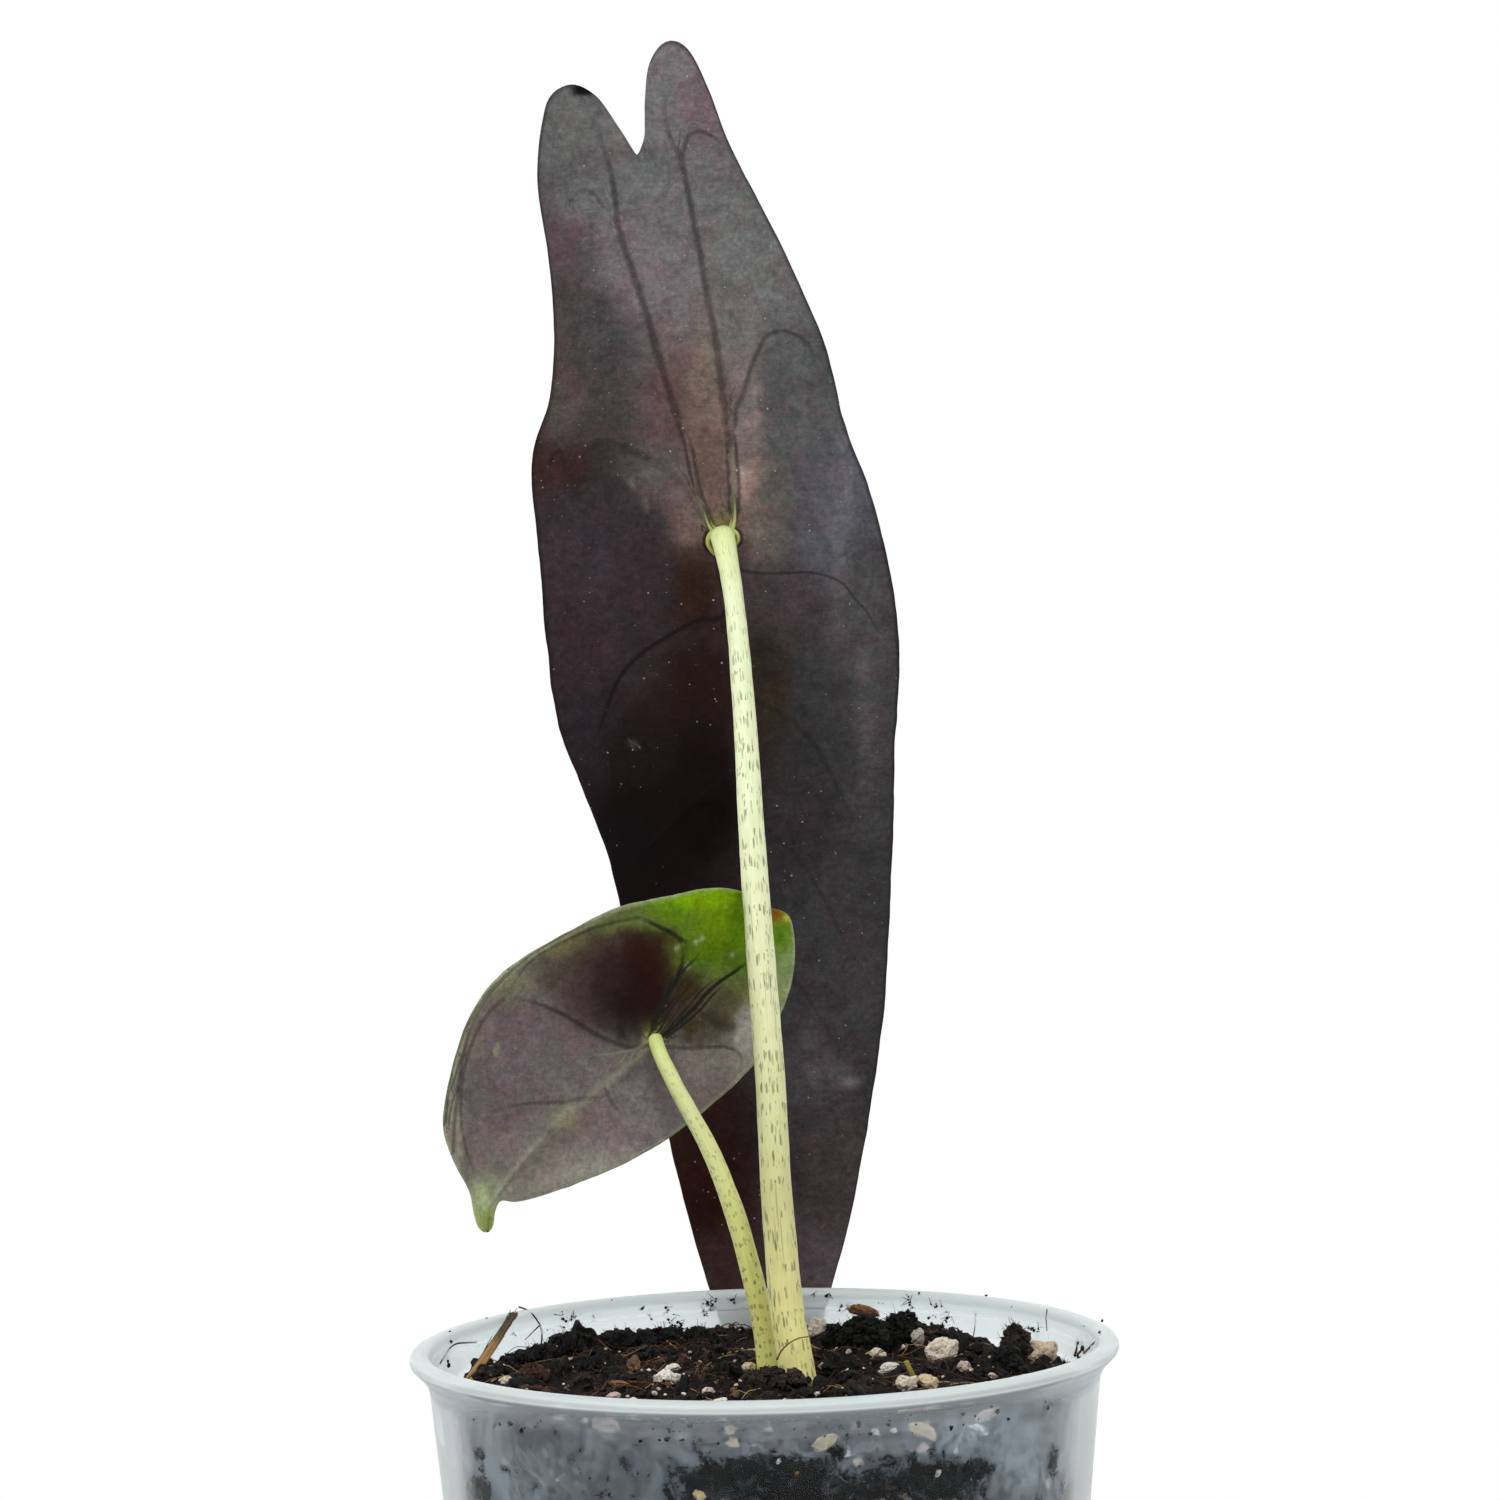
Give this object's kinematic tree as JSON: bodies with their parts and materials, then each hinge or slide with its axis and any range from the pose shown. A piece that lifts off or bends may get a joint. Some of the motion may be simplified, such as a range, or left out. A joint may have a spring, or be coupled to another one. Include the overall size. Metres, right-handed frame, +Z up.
{
  "type": "potted purple alocasia longiloba",
  "caption": "Young potted alocasia with purple-black, shield-shaped leaves on pale mottled stalks, growing in potting mix in a translucent round nursery pot.",
  "frame": {"origin": "centre of the pot's flat underside, on the surface it stands on", "axes": "+Z up, +X to the right and +Y away from someone who looks at the leaves' undersides"},
  "size_m": [0.09, 0.0962, 0.2512],
  "materials": {
    "pot_plastic": "frosted translucent polypropylene, milky grey-white, the mix showing darkly through it",
    "potting_mix": "crumbly dark peat and bark with off-white perlite grains and fine fibres",
    "straw": "dry ochre straw with a dark end",
    "rhizome_skin": "matt brown corky skin, roots cream",
    "large_stalk_skin": "satin cream-green, greener at the base, with short dark dashes in rows",
    "large_leaf_skin": "satin purple-black underside with a grey bloom and darker veins",
    "small_stalk_skin": "satin yellow-green with brown-green flecks",
    "small_leaf_skin": "satin grey-mauve underside, green upper lobe and margin, maroon patch, green tip"
  },
  "bodies": {
    "root": {"pot": "pot_plastic", "soil": "potting_mix", "straw_splinter": "straw", "rhizome": "rhizome_skin", "large_petiole": "large_stalk_skin", "large_blade": "large_leaf_skin", "small_petiole": "small_stalk_skin", "small_blade": "small_leaf_skin"}
  },
  "joints": []
}
